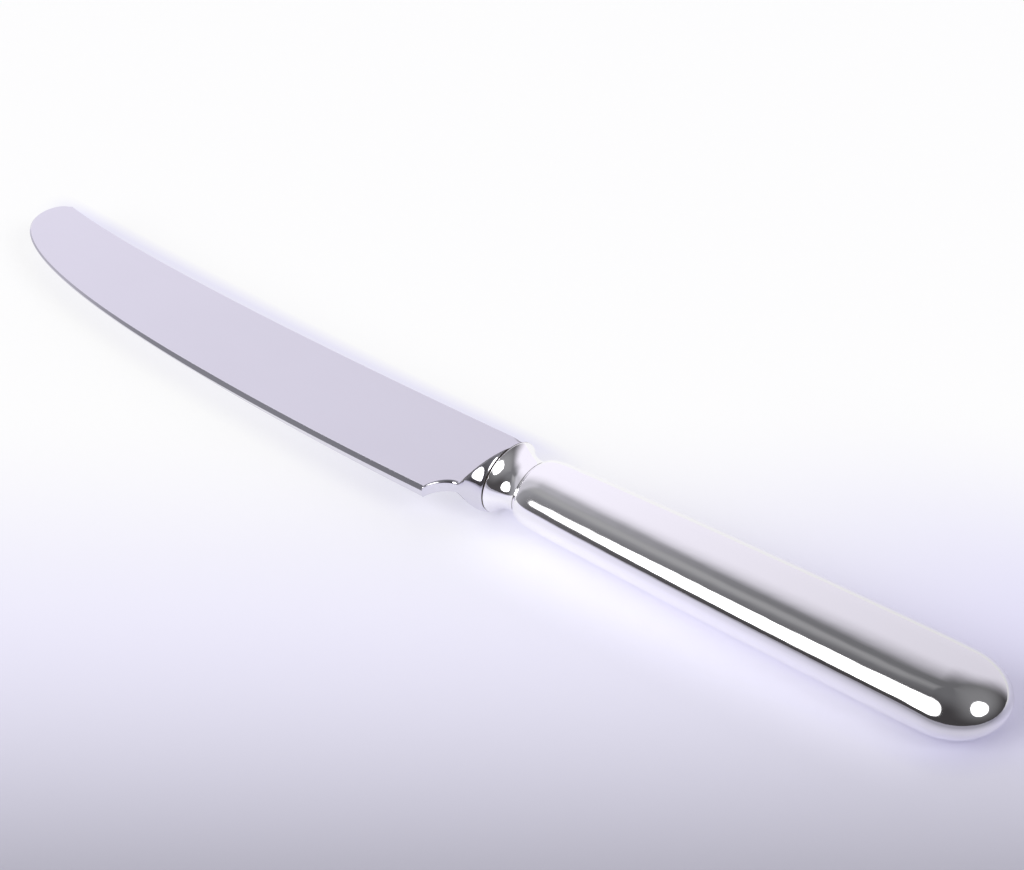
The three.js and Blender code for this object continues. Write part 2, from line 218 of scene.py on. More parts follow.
class StageSettings(bpy.types.PropertyGroup):
    """Table, light and camera"""

    table_far: colour("Colour of the table behind the knife", 1.0, 1.0, 1.0)
    # painted shade: the lavender tint and the loss of light towards the camera stand for the light's falloff
    table_near: colour("Colour of the table before the knife", 0.885, 0.87, 1.0)
    table_fall: share("Share of its light that the table loses towards the camera", 0.92)
    table_least: share("Share of its colour that the table keeps everywhere", 0.5)
    table_shadow: colour("Tint of the table close under the knife", 0.86, 0.85, 0.98)
    table_shade: share("How much of the handle's shadow the table shows behind it", 0.7)
    table_cast: share("How much of the shadow's tint the table has behind the handle", 0.4)
    table_glow: share("Light that the handle throws on the table beside it", 0.15)
    lamp_strength: share("Strength of the two soft lamps", 5.0)
    elevation: angle("Camera above the table", 37.0)
    azimuth: angle("Camera turned about the knife", 38.29)
    distance: size("Camera to the joint", 500)


# Curves

def bezier(controls, shares):
    """Points of a cubic Bezier curve: its four control points weighed by the Bernstein polynomials."""
    t = shares[:, None]
    weights = ((1 - t) ** 3, 3 * (1 - t) ** 2 * t, 3 * (1 - t) * t ** 2, t ** 3)
    return sum(weight * np.asarray(point) for weight, point in zip(weights, controls))


def bezier_slope(controls, shares):
    """Directions of that curve: its control points' differences weighed by the quadratic polynomials."""
    t = shares[:, None]
    weights = ((1 - t) ** 2, 2 * (1 - t) * t, t ** 2)
    legs = np.diff(np.asarray(controls), axis=0)
    return sum(weight * leg for weight, leg in zip(weights, legs))


def travelled(points):
    """Length along a line of points up to each of them."""
    legs = np.linalg.norm(np.diff(points, axis=0), axis=1)
    return np.concatenate([[0], np.cumsum(legs)])


def quarter(steps):
    """Angles from nothing to a right angle."""
    return np.linspace(0, math.pi / 2, steps + 1)


def blend(start, end, weight):
    """Start and end mixed by the weight."""
    return start + (end - start) * weight


def smooth_step(value):
    """A step from 0 to 1 that starts and ends level."""
    step = np.clip(value, 0, 1)
    return step ** 2 * (3 - 2 * step)


def oval_rings(x, half_width, half_thickness, angles, reach=1):
    """Rings of ovals across X: Y is the half-width times the cosine, Z the half-thickness times the sine.

    The reach pushes the points out from the oval.
    """
    x, half_width, half_thickness = (np.asarray(value)[:, None] for value in (x, half_width, half_thickness))
    y = half_width * np.cos(angles) * reach
    z = half_thickness * np.sin(angles) * reach
    return np.stack(np.broadcast_arrays(x, y, z), axis=-1)


def box_rings(x, half_width, half_thickness, angles):
    """Rings of oblongs across X: a circle's points are pushed out to the square round it, then stretched."""
    reach = 1 / np.maximum(np.abs(np.cos(angles)), np.abs(np.sin(angles)))
    return oval_rings(x, half_width, half_thickness, angles, reach)


# Meshes

WELD = 1e-7  # points closer than this are one point
SHARP = math.radians(28)  # edges sharper than this stay crisp
FULL_TURN = 2 * math.pi
RING_POINTS = 160


def skin(rings, ends):
    """Points and triangles of a closed skin over rings that follow each other, with the source of each point.

    Each quad between neighbouring rings is split in two. Ends that are "joined" link the last ring to the
    first, those that are "fanned" get a fan to the ring's middle, and "folded" ends close by themselves.
    Points that coincide are merged, and faces that lose a side by it are dropped.
    """
    count, around = rings.shape[:2]
    index = np.arange(count * around).reshape(count, around)
    near = index if ends == "joined" else index[:-1]
    far = np.roll(index, -1, axis=0) if ends == "joined" else index[1:]
    near_next, far_next = np.roll(near, -1, axis=1), np.roll(far, -1, axis=1)
    faces = [np.stack([near, near_next, far_next], axis=-1), np.stack([near, far_next, far], axis=-1)]
    points = rings.reshape(-1, 3)
    if ends == "fanned":
        first, last = index[0], index[-1]
        start, end = np.full(around, count * around), np.full(around, count * around + 1)
        faces.append(np.stack([start, np.roll(first, -1), first], axis=-1))
        faces.append(np.stack([end, last, np.roll(last, -1)], axis=-1))
        points = np.vstack([points, rings[0].mean(axis=0), rings[-1].mean(axis=0)])
    faces = np.vstack([part.reshape(-1, 3) for part in faces])
    keys = np.round(points / WELD).astype(np.int64)
    _, source, merged = np.unique(keys, axis=0, return_index=True, return_inverse=True)
    faces = merged.reshape(-1)[faces]
    whole = (faces != np.roll(faces, 1, axis=1)).all(axis=1)
    return points[source], faces[whole], source


def new_piece(name, points, faces, material, node, attributes=()):
    """A smooth mesh object with crisp edges, drawn about the joint, that stands for a packed node."""
    mesh = bpy.data.meshes.new(name)
    mesh.vertices.add(len(points))
    mesh.vertices.foreach_set("co", (points + np.array(JOINT)).astype(np.float32).ravel())
    mesh.loops.add(faces.size)
    mesh.loops.foreach_set("vertex_index", faces.astype(np.int32).ravel())
    mesh.polygons.add(len(faces))
    mesh.polygons.foreach_set("loop_start", np.arange(0, faces.size, 3, dtype=np.int32))
    mesh.update(calc_edges=True)
    if mesh.validate():
        raise RuntimeError(name + " has faces that are not sound")
    mesh.shade_smooth()
    mesh.set_sharp_from_angle(angle=SHARP)
    for key, values in attributes:
        layer = mesh.attributes.new(key, "FLOAT", "POINT")
        layer.data.foreach_set("value", values.astype(np.float32))
    mesh.materials.append(material)
    piece = bpy.data.objects.new(name, mesh)
    bpy.context.scene.collection.objects.link(piece)
    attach(piece, "root")
    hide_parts(node)


class KnifeStep:
    """What the operators share: each builds its pieces in the scene and is finished."""

    def execute(self, context):
        self.build(context.scene)
        return {"FINISHED"}


# Materials

WHITE = (1.0, 1.0, 1.0)
UPWARD = (0.05, 0.45)  # rise of the normal over which a surface comes to face up
TARNISH_AND_SHADE_ROUGHNESS, CEMENT_ROUGHNESS = 0.5, 0.92

# Noises: stretch of the coordinates, scale and detail
GRIND_LINES = (0.06, 1.0, 1.0), 5200.0, 2.0
GRIND_CLOUD = (1.0, 1.6, 1.0), 46.0, 3.0
HAIRS = (0.05, 1.0, 1.0), 2600.0, 3.0
WAVES = (0.4, 1.0, 1.0), 260.0, 2.0
WEAR_CLOUD = (1.0, 1.0, 1.0), 90.0, 4.0
GRAINS = (1.0, 1.0, 1.0), 1400.0, 6.0
PORES = 900.0
NOISE_ROUGHNESS = 0.6

# Parts of the noises that count, and how far the roughness changes over them
SATIN_RANGE, SATIN_CHANGE = (0.25, 0.75), (-0.02, 0.02)
WEAR_RANGE, WEAR_CHANGE = (0.3, 0.75), (-0.01, 0.03)
HAIR_RANGE = (0.62, 0.8)

# Reliefs: strength and distance
GRIND_RELIEF = 0.05, 2e-6
WAVE_RELIEF = 0.6, 5e-5
HAIR_RELIEF = 0.25, 1e-5
CEMENT_RELIEF = 0.5, 1e-4
GRAIN_SHARE = 0.6  # how much the cement's grains count beside its pores

# How bright a grind line, a scratch and a grain are beside their ground
LINE_LIGHT, HAIR_LIGHT, GRAIN_LIGHT = 0.985, 0.97, 1.7


class Graph:
    """Short calls that add nodes to a tree and link their sockets."""

    def __init__(self, tree):
        self.tree = tree
        self.tree.nodes.clear()

    def add(self, kind, inputs=None, **settings):
        """A new node with its settings and inputs."""
        node = self.tree.nodes.new(kind)
        for name, value in settings.items():
            setattr(node, name, value)
        self.feed(node, inputs or {})
        return node

    def feed(self, node, inputs):
        """Inputs of a node linked to sockets or set to values."""
        for socket, value in inputs.items():
            if isinstance(value, bpy.types.NodeSocket):
                self.tree.links.new(value, node.inputs[socket])
            else:
                node.inputs[socket].default_value = value

    def math(self, operation, first, second=0.0):
        """Result of a math node."""
        return self.add("ShaderNodeMath", {0: first, 1: second}, operation=operation).outputs[0]

    def product(self, first, *others):
        """Values multiplied with each other."""
        for other in others:
            first = self.math("MULTIPLY", first, other)
        return first

    def ramp(self, value, low, high, start=0.0, end=1.0, smooth=True):
        """Value mapped from low and high to start and end, held level outside."""
        kind = "SMOOTHSTEP" if smooth else "LINEAR"
        inputs = {"Value": value, "From Min": low, "From Max": high, "To Min": start, "To Max": end}
        return self.add("ShaderNodeMapRange", inputs, interpolation_type=kind).outputs["Result"]

    def between(self, weight, first, second):
        """Two numbers mixed by a weight."""
        return self.add("ShaderNodeMix", {0: weight, 2: first, 3: second}).outputs[0]

    def mix(self, weight, first, second):
        """Two colours mixed by a weight."""
        return self.add("ShaderNodeMix", {0: weight, 6: first, 7: second}, data_type="RGBA").outputs[2]

    def scaled(self, tint, factor):
        """A colour times a factor."""
        return self.add("ShaderNodeVectorMath", {0: tint, "Scale": factor}, operation="SCALE").outputs[0]

    def parts(self, vector):
        """X, Y and Z of a vector."""
        return self.add("ShaderNodeSeparateXYZ", {0: vector}).outputs

    def attribute(self, name):
        """Values that a mesh carries at its points."""
        return self.add("ShaderNodeAttribute", attribute_name=name).outputs["Fac"]

    def bump(self, height, strength, distance, **inputs):
        """Normal that follows a height."""
        inputs = {"Height": height, "Strength": strength, "Distance": distance, **inputs}
        return self.add("ShaderNodeBump", inputs).outputs[0]


def rgba(tone, light=1.0):
    """A colour times its light, with its alpha."""
    return (*(channel * light for channel in tone), 1.0)


def new_material(name):
    """An empty material, its graph, its shader and its Object coordinates."""
    material = bpy.data.materials.new(name)
    material.use_nodes = True
    graph = Graph(material.node_tree)
    shader = graph.add("ShaderNodeBsdfPrincipled")
    graph.add("ShaderNodeOutputMaterial", {"Surface": shader.outputs[0]})
    place = graph.add("ShaderNodeTexCoord").outputs["Object"]
    return material, graph, shader, place


def stretched_noise(graph, place, stretch, scale, detail):
    """Noise on Object coordinates that are stretched, so that its grains become lines."""
    turned = graph.add("ShaderNodeMapping", {"Vector": place, "Scale": stretch}).outputs[0]
    inputs = {"Vector": turned, "Scale": scale, "Detail": detail, "Roughness": NOISE_ROUGHNESS}
    return graph.add("ShaderNodeTexNoise", inputs).outputs["Fac"]


def uneven(graph, noise, part, middle, change):
    """Roughness that a noise moves down and up from its middle."""
    return graph.ramp(noise, *part, middle + change[0], middle + change[1])


def painted_shade_along(graph, place, tint, low, high, loss):
    """Painted shade: colour that loses a share of its light between two places along the knife, on its upper
    side.
    """
    along = graph.ramp(graph.parts(place)[0], low, high, 0.0, loss, smooth=False)
    normal = graph.add("ShaderNodeNewGeometry").outputs["Normal"]
    upward = graph.ramp(graph.parts(normal)[2], *UPWARD)
    return graph.scaled(tint, graph.math("SUBTRACT", 1.0, graph.product(along, upward)))


def coat(graph, shader, tint, rough, normal, finishes):
    """Metal with a colour, a roughness and a normal, dark and dull where the attribute of dark joint lines
    and painted shade is 1.
    """
    dark = graph.attribute("tarnish")
    tint = graph.mix(dark, tint, rgba(finishes.tarnish))
    rough = graph.between(dark, rough, TARNISH_AND_SHADE_ROUGHNESS)
    graph.feed(shader, {"Base Color": tint, "Roughness": rough, "Normal": normal, "Metallic": 1.0})


def blade_steel(finishes):
    """Steel with fine grind lines along the ground faces, bright where the attribute polish is 1."""
    material, graph, shader, place = new_material("ground_steel")
    polish = graph.attribute("polish")
    lines, cloud = (stretched_noise(graph, place, *noise) for noise in (GRIND_LINES, GRIND_CLOUD))
    satin = uneven(graph, cloud, SATIN_RANGE, finishes.satin, SATIN_CHANGE)
    rough = graph.between(polish, satin, finishes.bright)
    tint = graph.mix(lines, rgba(finishes.steel), rgba(finishes.steel, LINE_LIGHT))
    # painted shade on the blade's upper side, darker towards the bolster
    tint = painted_shade_along(graph, place, tint, blade_low.x, JOINT.x, finishes.steel_painted_shade)
    strength, distance = GRIND_RELIEF
    relief = graph.bump(lines, graph.ramp(polish, 0.0, 1.0, strength, 0.0), distance)
    coat(graph, shader, tint, rough, relief, finishes)
    return material


def mirror_silver(name, tone, finishes):
    """Polished silver with fine wear: hair scratches along the handle, faint waves and dulled patches."""
    material, graph, shader, place = new_material(name)
    hairs, waves, cloud = (stretched_noise(graph, place, *noise) for noise in (HAIRS, WAVES, WEAR_CLOUD))
    rough = uneven(graph, cloud, WEAR_RANGE, finishes.mirror, WEAR_CHANGE)
    tint = graph.mix(graph.ramp(hairs, *HAIR_RANGE), rgba(tone), rgba(tone, HAIR_LIGHT))
    # painted shade on the silver's upper side, darker towards the butt
    tint = painted_shade_along(graph, place, tint, ferrule_high.x, shell_high.x, finishes.silver_painted_shade)
    relief = graph.bump(hairs, *HAIR_RELIEF, Normal=graph.bump(waves, *WAVE_RELIEF))
    coat(graph, shader, tint, rough, relief, finishes)
    return material


def handle_cement(finishes):
    """Dull mineral filling with grains and pores."""
    material, graph, shader, place = new_material("mineral_cement")
    grains = stretched_noise(graph, place, *GRAINS)
    pores = graph.add("ShaderNodeTexVoronoi", {"Vector": place, "Scale": PORES}).outputs["Distance"]
    tint = graph.mix(grains, rgba(finishes.cement), rgba(finishes.cement, GRAIN_LIGHT))
    relief = graph.bump(graph.math("ADD", graph.product(grains, GRAIN_SHARE), pores), *CEMENT_RELIEF)
    graph.feed(shader, {"Base Color": tint, "Normal": relief, "Roughness": CEMENT_ROUGHNESS})
    return material


def shared_metal(name, tone, finishes):
    """A polished metal, made once and used by every piece of it."""
    return bpy.data.materials.get(name) or mirror_silver(name, tone, finishes)


def shared_silver(finishes):
    """The silver of ferrule and handle."""
    return shared_metal("polished_silver", finishes.silver, finishes)


def shared_solder(finishes):
    """The solder of both seams."""
    return shared_metal("polished_solder", finishes.solder, finishes)


# Blade

TIP_STEPS, BELLY_STEPS, NOTCH_STEPS, COLLAR_STEPS, RIM_STEPS = 28, 170, 44, 64, 8
FLAT_STEPS, ROUND_STEPS, FACE_STEPS, ARRIS_STEPS = 3, 5, 80, 14
# Parts of the rim's oval that the back, its edge, the edge's flat and its bevel become
BACK_SHARE, FACE_SHARE, EDGE_SHARE, ARRIS_SHARE = (math.radians(degrees) for degrees in (5, 15, 5, 35))
TANG_STEPS, NICKS, BACK_SAMPLES = 60, 3, 2000
POLISH_RISE = 0.3 * MM  # height on the ramp at which the satin has turned bright
POLISH_EDGE = 0.1 * MM  # width of the change from satin to bright at the collar's edge
# painted shade: a dark line along the collar's ridge
SHADE_LINE_EDGE = 0.3 * MM  # width of the change to the dark line along that edge
SHADE_LINE_START = 2  # how many of those widths ahead of the edge the line is dark
SHADE_LINE_REACH = 1.0 * MM  # how far below the edge the dark line is gone
JOINT_RINGS = 4  # rings of the collar that are dark at the joint


def blade_half_thickness(sizes, neck_length, x, y):
    """Each face is one plane, thinner towards the nose and towards the edge."""
    taper = (sizes.neck_half_thickness - sizes.tip_half_thickness) / (sizes.length - neck_length)
    return sizes.neck_half_thickness + taper * (x + neck_length) + sizes.grind * (y - sizes.back_height)


def edge_stations(sizes, neck_length):
    """Points and directions along the edge, from the tip's corner to the neck, with the depth of the bevel.

    The tip is a quarter ellipse, the belly and the notch are cubic curves. The notch has a rounded arris
    that widens towards the neck, and the rest has a straight bevel.
    """
    nose = np.array([-sizes.length, sizes.tip_height - sizes.tip_round_height])
    heel = np.array([-sizes.heel_setback, -sizes.heel_depth])
    throat = np.array([-neck_length, -sizes.throat_depth])
    belly = (nose, nose - (0, sizes.nose_pull), heel - (sizes.belly_pull, 0), heel)
    rising, running = (sizes.heel_lean, sizes.heel_rise), (sizes.throat_run, sizes.throat_fall)
    notch = (heel, heel + rising, throat - running, throat)
    turn = math.pi / 2 + quarter(TIP_STEPS)[1:]
    reach = np.array([sizes.tip_round_length, sizes.tip_round_height])
    centre = nose + (sizes.tip_round_length, 0)
    tip_points = centre + reach * np.stack([np.cos(turn), np.sin(turn)], axis=-1)
    tip_slopes = reach * np.stack([-np.sin(turn), np.cos(turn)], axis=-1)
    belly_shares = np.linspace(0, 1, BELLY_STEPS + 1)[1:]
    notch_shares = np.linspace(0, 1, NOTCH_STEPS + 1)[1:]
    points = np.vstack([tip_points, bezier(belly, belly_shares), bezier(notch, notch_shares)])
    slopes = np.vstack([tip_slopes, bezier_slope(belly, belly_shares), bezier_slope(notch, notch_shares)])
    slopes /= np.linalg.norm(slopes, axis=1, keepdims=True)
    inward = np.stack([-slopes[:, 1], slopes[:, 0]], axis=-1)
    bevelled = np.full(TIP_STEPS + BELLY_STEPS, sizes.bevel_depth)
    depth = np.concatenate([bevelled, blend(sizes.heel_arris, sizes.throat_arris, notch_shares)])
    rounded = np.arange(len(points)) >= TIP_STEPS + BELLY_STEPS
    return points, inward, depth, rounded


def back_points(sizes, neck_length, shares):
    """Points of the back at shares of its length: a cubic curve that sweeps up to the tip's corner."""
    corner = np.array([-sizes.length + sizes.tip_round_length, sizes.tip_height])
    lean = np.array([math.cos(sizes.back_tip_angle), -math.sin(sizes.back_tip_angle)])
    root = np.array([-neck_length, sizes.back_height])
    controls = (corner, corner + sizes.back_tip_pull * lean, root - (sizes.back_root_pull, 0), root)
    line = bezier(controls, np.linspace(0, 1, BACK_SAMPLES))
    along = travelled(line)
    along /= along[-1]
    return np.stack([np.interp(shares, along, line[:, axis]) for axis in (0, 1)], axis=-1)


def section_angles():
    """Angles of the rim's oval that a section's points turn into, from the back round to the edge."""
    corners = (0, BACK_SHARE, FACE_SHARE, math.pi - ARRIS_SHARE, math.pi - EDGE_SHARE, math.pi)
    steps = (FLAT_STEPS, ROUND_STEPS, FACE_STEPS, ARRIS_STEPS, FLAT_STEPS)
    parts = [np.linspace(low, high, count + 1)[1:] for low, high, count in zip(corners, corners[1:], steps)]
    return np.concatenate([[0.0], *parts])


def blade_halves(sizes, neck_length):
    """Upper half of each section, from the middle of the back to the middle of the edge.

    The back is a flat with a rounded edge, the face lies on its plane, and a straight bevel or a rounded
    arris leads down to the flat of the edge. Bevel and arris meet in a mitre at the heel, and just above
    the heel the arris is as deep as the bevel's end.
    """
    edge, inward, depth, rounded = edge_stations(sizes, neck_length)
    along = travelled(np.vstack([[-sizes.length + sizes.tip_round_length, sizes.tip_height], edge]))[1:]
    back = back_points(sizes, neck_length, along / along[-1])
    width = np.linalg.norm(edge - back, axis=1)
    thickness = blade_half_thickness(sizes, neck_length, *edge.T)
    depth = np.minimum(depth, np.minimum(thickness - sizes.edge_half_thickness, width * sizes.arris_share))
    reach = depth * sizes.bevel_slope
    face_end = edge + inward * reach[:, None]
    heel = TIP_STEPS + BELLY_STEPS - 1
    mitre = edge[heel, 0] - sizes.heel_arris * sizes.bevel_slope, face_end[heel, 1]
    face_end[:heel + 1, 0] = np.minimum(face_end[:heel + 1, 0], mitre[0])
    face_end[heel + 1:, 1] = np.maximum(face_end[heel + 1:, 1], mitre[1])
    bevel_left = depth[heel] * (1 - (edge[:, 1] - edge[heel, 1]) / reach[heel])
    depth = np.where(rounded, np.maximum(depth, bevel_left), depth)
    back_round = np.minimum(sizes.back_round, width * sizes.arris_share)
    face_start = blend(back, face_end, (back_round / width)[:, None])

    def raised(flat, height):
        return np.concatenate([flat, height[..., None]], axis=-1)

    def lifted(flat, drop):
        return raised(flat, blade_half_thickness(sizes, neck_length, flat[..., 0], flat[..., 1]) - drop)

    flat_shares = np.linspace(0, 1, FLAT_STEPS + 1)
    back_top = blade_half_thickness(sizes, neck_length, *back.T) - back_round
    back_flat = raised(np.repeat(back[:, None], FLAT_STEPS + 1, axis=1), back_top[:, None] * flat_shares)
    turn = quarter(ROUND_STEPS)[1:]
    back_edge = lifted(
        blend(back[:, None], face_start[:, None], (1 - np.cos(turn))[None, :, None]),
        back_round[:, None] * (1 - np.sin(turn)),
    )
    cosines = np.cos(np.linspace(FACE_SHARE, math.pi - ARRIS_SHARE, FACE_STEPS + 1)[1:])
    first = math.cos(FACE_SHARE)
    shares = (first - cosines) / (first + math.cos(ARRIS_SHARE))
    face = lifted(blend(face_start[:, None], face_end[:, None], shares[None, :, None]), 0)
    straight = np.linspace(0, 1, ARRIS_STEPS + 1)[1:]
    turn = straight * math.pi / 2
    out = np.where(rounded[:, None], np.sin(turn), straight)
    drop = np.where(rounded[:, None], 1 - np.cos(turn), straight)
    arris = lifted(blend(face_end[:, None], edge[:, None], out[..., None]), depth[:, None] * drop)
    edge_flat = np.repeat(arris[:, -1:], FLAT_STEPS, axis=1)
    edge_flat[..., 2] *= 1 - flat_shares[1:]
    return np.concatenate([back_flat, back_edge, face, arris, edge_flat], axis=1)


def ramp_rise(sizes, bolster, x, y):
    """Height of the ramp above the blade's face.

    Across the ramp, which is askew in plan, the height is the square of the parameter of a quadratic curve
    that leaves the face level and gets to the rim on a straight slope.
    """
    across = x * math.cos(bolster.ramp_turn) - y * math.sin(bolster.ramp_turn)
    start = -bolster.ramp_run - bolster.ramp_fillet
    lean = 2 * bolster.ramp_fillet
    bend = bolster.ramp_run - bolster.ramp_fillet - bolster.rim_land
    beyond = np.maximum(across - start, 0)
    parameter = (np.sqrt(lean ** 2 + 4 * bend * beyond) - lean) / (2 * bend)
    return (bolster.rim_half_thickness - sizes.neck_half_thickness) * parameter ** 2


def bolster_halves(sizes, bolster, neck_half, angles):
    """Sections of the bolster from the neck to the joint, with how bright and how dark each point is: the
    dark line along the ridge is painted shade, the dark rings at the joint are the joint's own.

    The collar is an oval that narrows evenly from the neck to the rim, swells by a parabola along X, most
    at the top, and is rounded at the joint. Above the blade's face the ramp cuts it off: the height is a
    soft minimum of the oval and the ramp, the mean of the two less half the root of their squared difference
    and the ridge's squared round. Over the first stretch a smooth step turns the neck's section into that
    form.
    """
    turn = np.linspace(0, bolster.joint_turn, RIM_STEPS + 1)[1:]
    reach = bolster.joint_round * math.sin(bolster.joint_turn)
    x = np.concatenate([
        np.linspace(-bolster.neck_length, -reach, COLLAR_STEPS + 1)[1:],
        bolster.joint_round * np.sin(turn) - reach,
    ])[:, None]
    fall = np.concatenate([np.zeros(COLLAR_STEPS), bolster.joint_round * (1 - np.cos(turn))])[:, None]
    neck_half_width = np.where(np.cos(angles) > 0, sizes.back_height, sizes.throat_depth)
    half_width = blend(bolster.rim_half_width, neck_half_width, -x / bolster.neck_length) - fall
    swell = np.clip(1 - (x / bolster.crown_setback + 1) ** 2, 0, 1) * np.sin(angles)
    swollen = 1 + swell * bolster.crown / bolster.rim_half_thickness
    y = half_width * np.cos(angles) * swollen
    oval = (bolster.rim_half_thickness - fall) * np.sin(angles) * swollen
    rise = ramp_rise(sizes, bolster, x, y)
    cut = blade_half_thickness(sizes, bolster.neck_length, x, y) + rise
    height = (oval + cut - np.hypot(oval - cut, bolster.ridge_round * np.sin(angles))) / 2
    turned = smooth_step((x + bolster.neck_length) / bolster.collar_blend)
    flat = blend(neck_half[:, 1:], np.stack([y, height], axis=-1), turned[..., None])
    halves = np.concatenate([np.broadcast_to(x[..., None], (*y.shape, 1)), flat], axis=-1)
    on_collar = np.clip((cut - oval) / POLISH_EDGE + 0.5, 0, 1)
    bright = np.maximum(on_collar, np.clip(rise / POLISH_RISE, 0, 1)) * turned
    beyond = oval - cut
    # painted shade along the ridge; the dark rings at the joint below are the joint's own
    dark = np.clip(beyond / SHADE_LINE_EDGE + SHADE_LINE_START, 0, 1) * np.clip(1 - beyond / SHADE_LINE_REACH, 0, 1) * turned
    dark[-JOINT_RINGS:] = 1
    return halves, bright, dark


def tang_profile(tang, x):
    """Half-width of the tang: an even taper less three keying nicks, each a V of its own width and depth."""
    nicks = tang.length - tang.nick_from_end - tang.nick_spacing * np.arange(NICKS)
    away = np.abs(x[:, None] - nicks) / (tang.nick_width / 2)
    cut = tang.nick_depth * np.clip(1 - away, 0, 1).max(axis=1)
    return blend(tang.root_width, tang.end_width, x / tang.length) / 2 - cut


def tang_halves(tang, angles):
    """Oblong sections of the tang from the joint to its end."""
    x = np.linspace(0, tang.length, TANG_STEPS + 1)
    thickness = np.full_like(x, tang.thickness / 2)
    return box_rings(x, tang_profile(tang, x), thickness, angles)


class KNIFE_OT_blade(KnifeStep, bpy.types.Operator):
    """Blade, bolster and tang in one forging"""

    bl_idname = "knife.blade"
    bl_label = "Blade"

    def build(self, scene):
        bolster = scene.knife_bolster
        angles = section_angles()
        blade = blade_halves(scene.knife_blade, bolster.neck_length)
        collar, bright, dark = bolster_halves(scene.knife_blade, bolster, blade[-1], angles)
        joint = len(blade) + len(collar)
        halves = np.concatenate([blade, collar, tang_halves(scene.knife_tang, angles)])
        lower = halves[:, -2:0:-1] * np.array([1, 1, -1])
        points, faces, source = skin(np.concatenate([halves, lower], axis=1), "fanned")
        on_face = FLAT_STEPS + ROUND_STEPS
        polish = np.zeros(halves.shape[:2])
        polish[:, :on_face] = 1
        polish[:, on_face + FACE_STEPS + 1:] = 1
        polish[len(blade):joint] = np.maximum(polish[len(blade):joint], bright)
        # dark joint rings, and the painted shade along the ridge
        tarnish = np.zeros(halves.shape[:2])
        tarnish[len(blade):joint] = dark

        def all_round(half_values):
            values = np.concatenate([half_values, half_values[:, -2:0:-1]], axis=1).ravel()
            return np.append(values, [0, 0])[source]

        attributes = [("polish", all_round(polish)), ("tarnish", all_round(tarnish))]
        material = blade_steel(scene.knife_finishes)
        new_piece("knife_blade", points, faces, material, "blade", attributes)


# Ferrule

COVE_STEPS = 48
DARK_RINGS = 5  # rings of the ferrule's rim that are dark at the joint


class KNIFE_OT_ferrule(KnifeStep, bpy.types.Operator):
    """Ferrule behind the bolster and the solder that joins it to the handle"""

    bl_idname = "knife.ferrule"
    bl_label = "Ferrule"

    def build(self, scene):
        bolster, tang, wall = scene.knife_bolster, scene.knife_tang, scene.knife_handle.wall
        angles = np.arange(RING_POINTS) * FULL_TURN / RING_POINTS
        self.make_ferrule(bolster, tang, wall, angles, shared_silver(scene.knife_finishes))
        self.make_solder(bolster, wall, angles, scene.knife_handle.start, shared_solder(scene.knife_finishes))

    def make_ferrule(self, bolster, tang, wall, angles, silver):
        """Rim, hollow down to the handle, spigot, and back through the slot that the tang passes.

        The hollow is a circular arc over the chord from the rim to the end, narrowest before it gets there.
        """
        corner, land, radius = bolster.rim_round, bolster.rim_land, bolster.cove_radius
        round_turn = quarter(RIM_STEPS)
        run = bolster.ferrule_length - land
        drop = bolster.rim_half_width - corner - bolster.waist_half_width
        half_turn = math.asin(math.hypot(run, drop) / (2 * radius))
        start_turn = -half_turn - math.atan2(drop, run)
        turn = start_turn + 2 * half_turn * np.linspace(0, 1, COVE_STEPS + 1)[1:]
        narrowing = radius * (np.cos(turn) - math.cos(start_turn)) / drop
        spigot = wall + bolster.spigot_clearance
        x = np.concatenate([
            [0, bolster.joint_chamfer],
            land - corner + corner * np.sin(round_turn),
            land + radius * (np.sin(turn) - math.sin(start_turn)),
            [bolster.ferrule_length, bolster.spigot_end],
        ])

        def outside(rim, waist):
            return np.concatenate([
                [rim - bolster.joint_chamfer, rim],
                rim - corner * (1 - np.cos(round_turn)),
                blend(rim - corner, waist, narrowing),
                [waist - spigot, waist - spigot],
            ])

        width = outside(bolster.rim_half_width, bolster.waist_half_width)
        thickness = outside(bolster.rim_half_thickness, bolster.waist_half_thickness)
        bore_x = np.array([bolster.spigot_end, 0])
        bore_width = tang_profile(tang, bore_x) + tang.clearance
        bore = box_rings(bore_x, bore_width, np.full(2, tang.thickness / 2 + tang.clearance), angles)
        rings = np.concatenate([oval_rings(x, width, thickness, angles), bore])
        points, faces, source = skin(rings, "joined")
        tarnish = np.zeros(rings.shape[:2])
        hollow_end = len(x) - 3  # the spigot's two rings follow
        tarnish[[*range(DARK_RINGS), hollow_end]] = 1
        attributes = [("tarnish", tarnish.ravel()[source])]
        new_piece("knife_ferrule", points, faces, silver, "ferrule", attributes)

    def make_solder(self, bolster, wall, angles, handle_start, solder):
        """Flat ring between the ferrule's end and the handle, a hair below the waist."""
        x = np.array([bolster.ferrule_length, bolster.ferrule_length, handle_start, handle_start])
        inset = np.array([wall, bolster.solder_recess, bolster.solder_recess, wall])
        rings = oval_rings(x, bolster.waist_half_width - inset, bolster.waist_half_thickness - inset, angles)
        points, faces, _ = skin(rings, "joined")
        new_piece("knife_ferrule_solder", points, faces, solder, "ferrule_solder")


# Handle

SHOULDER_STEPS, TAPER_STEPS, BUTT_STEPS, ARC_STEPS = 36, 90, 60, 120


